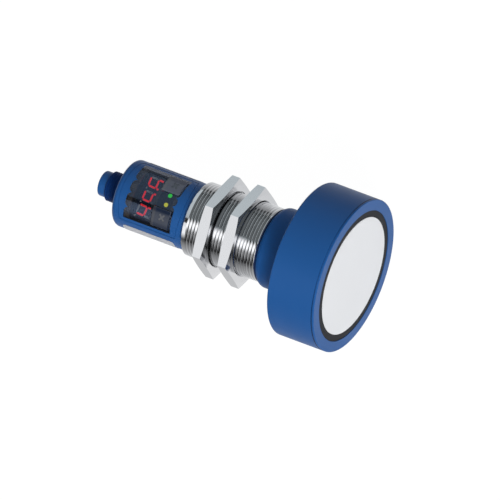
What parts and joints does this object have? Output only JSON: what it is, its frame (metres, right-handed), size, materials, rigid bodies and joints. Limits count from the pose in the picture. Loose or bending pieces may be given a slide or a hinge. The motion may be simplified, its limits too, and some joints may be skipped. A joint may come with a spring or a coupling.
{
  "type": "ultrasonic sensor",
  "caption": "Ultrasonic distance sensor with a wide round sensing head, threaded metal barrel with clamping nuts, digital display with keys and a round plug connector.",
  "frame": {"origin": "on the barrel's axis, midway between the facing sides of the two clamping nuts, where a bracket plate sits", "axes": "+X along the barrel out of the sensing face, +Z straight out of the display window, +Y to the left when looking along +X with the display up"},
  "size_m": [0.1112, 0.0622, 0.0622],
  "materials": {
    "blue_plastic": "fine satin moulded plastic",
    "foam": "fine matt foam",
    "radiating_face": "smooth pale filled resin",
    "ceramic": "silver-coated ceramic",
    "nickel": "bright nickel plate",
    "seal_rubber": "matt black rubber",
    "smoked_window": "clear smoked plastic, polished",
    "smoked_key": "dark translucent plastic",
    "display_face": "flat dark face",
    "segment": "milky light window",
    "circuit_board": "green solder mask",
    "component_black": "moulded black",
    "component_metal": "bright can",
    "green_light": "lit green guide",
    "yellow_light": "lit yellow guide",
    "copper_wire": "insulated copper",
    "connector_plastic": "fine satin moulded plastic",
    "gold_contact": "gold-plated",
    "label_film": "satin film"
  },
  "bodies": {
    "sensor_body": {"front_bezel": "blue_plastic", "head_housing": "blue_plastic", "neck": "blue_plastic", "rear_housing": "blue_plastic", "decoupling_ring": "foam", "transducer_backing": "foam", "transducer_face": "radiating_face", "piezo_disc": "ceramic", "transducer_leads": "copper_wire", "neck_seal": "seal_rubber", "front_oring": "seal_rubber", "rear_oring": "seal_rubber", "barrel_sleeve": "nickel", "window_cover": "smoked_window", "tact_switch_1": "component_metal", "tact_switch_2": "component_metal", "main_board": "circuit_board", "display_module": "display_face", "display_segments": "segment", "status_leds": "segment", "light_guide_green": "green_light", "light_guide_yellow": "yellow_light", "microcontroller": "component_black", "transformer": "component_metal", "capacitors": "component_metal", "connector_shell": "connector_plastic", "contact_carrier": "component_black", "contact_pins": "gold_contact", "type_label": "label_film"},
    "front_nut": {"front_nut": "nickel"},
    "rear_nut": {"rear_nut": "nickel"},
    "key_1": {"key_1": "smoked_key", "tact_plunger_1": "component_black"},
    "key_2": {"key_2": "smoked_key", "tact_plunger_2": "component_black"}
  },
  "joints": [
    {"name": "front_nut_turn", "type": "hinge", "parent": "sensor_body", "child": "front_nut", "pos_m": [0.00562, 0, 0], "axis": [1, 0, 0], "continuous": true},
    {"name": "rear_nut_turn", "type": "hinge", "parent": "sensor_body", "child": "rear_nut", "pos_m": [-0.00562, 0, 0], "axis": [1, 0, 0], "continuous": true},
    {"name": "key_1_press", "type": "slide", "parent": "sensor_body", "child": "key_1", "axis": [0, 0, -1], "range_m": [0, 0.0003], "stiffness_N_per_m": 2000},
    {"name": "key_2_press", "type": "slide", "parent": "sensor_body", "child": "key_2", "axis": [0, 0, -1], "range_m": [0, 0.0003], "stiffness_N_per_m": 2000}
  ]
}
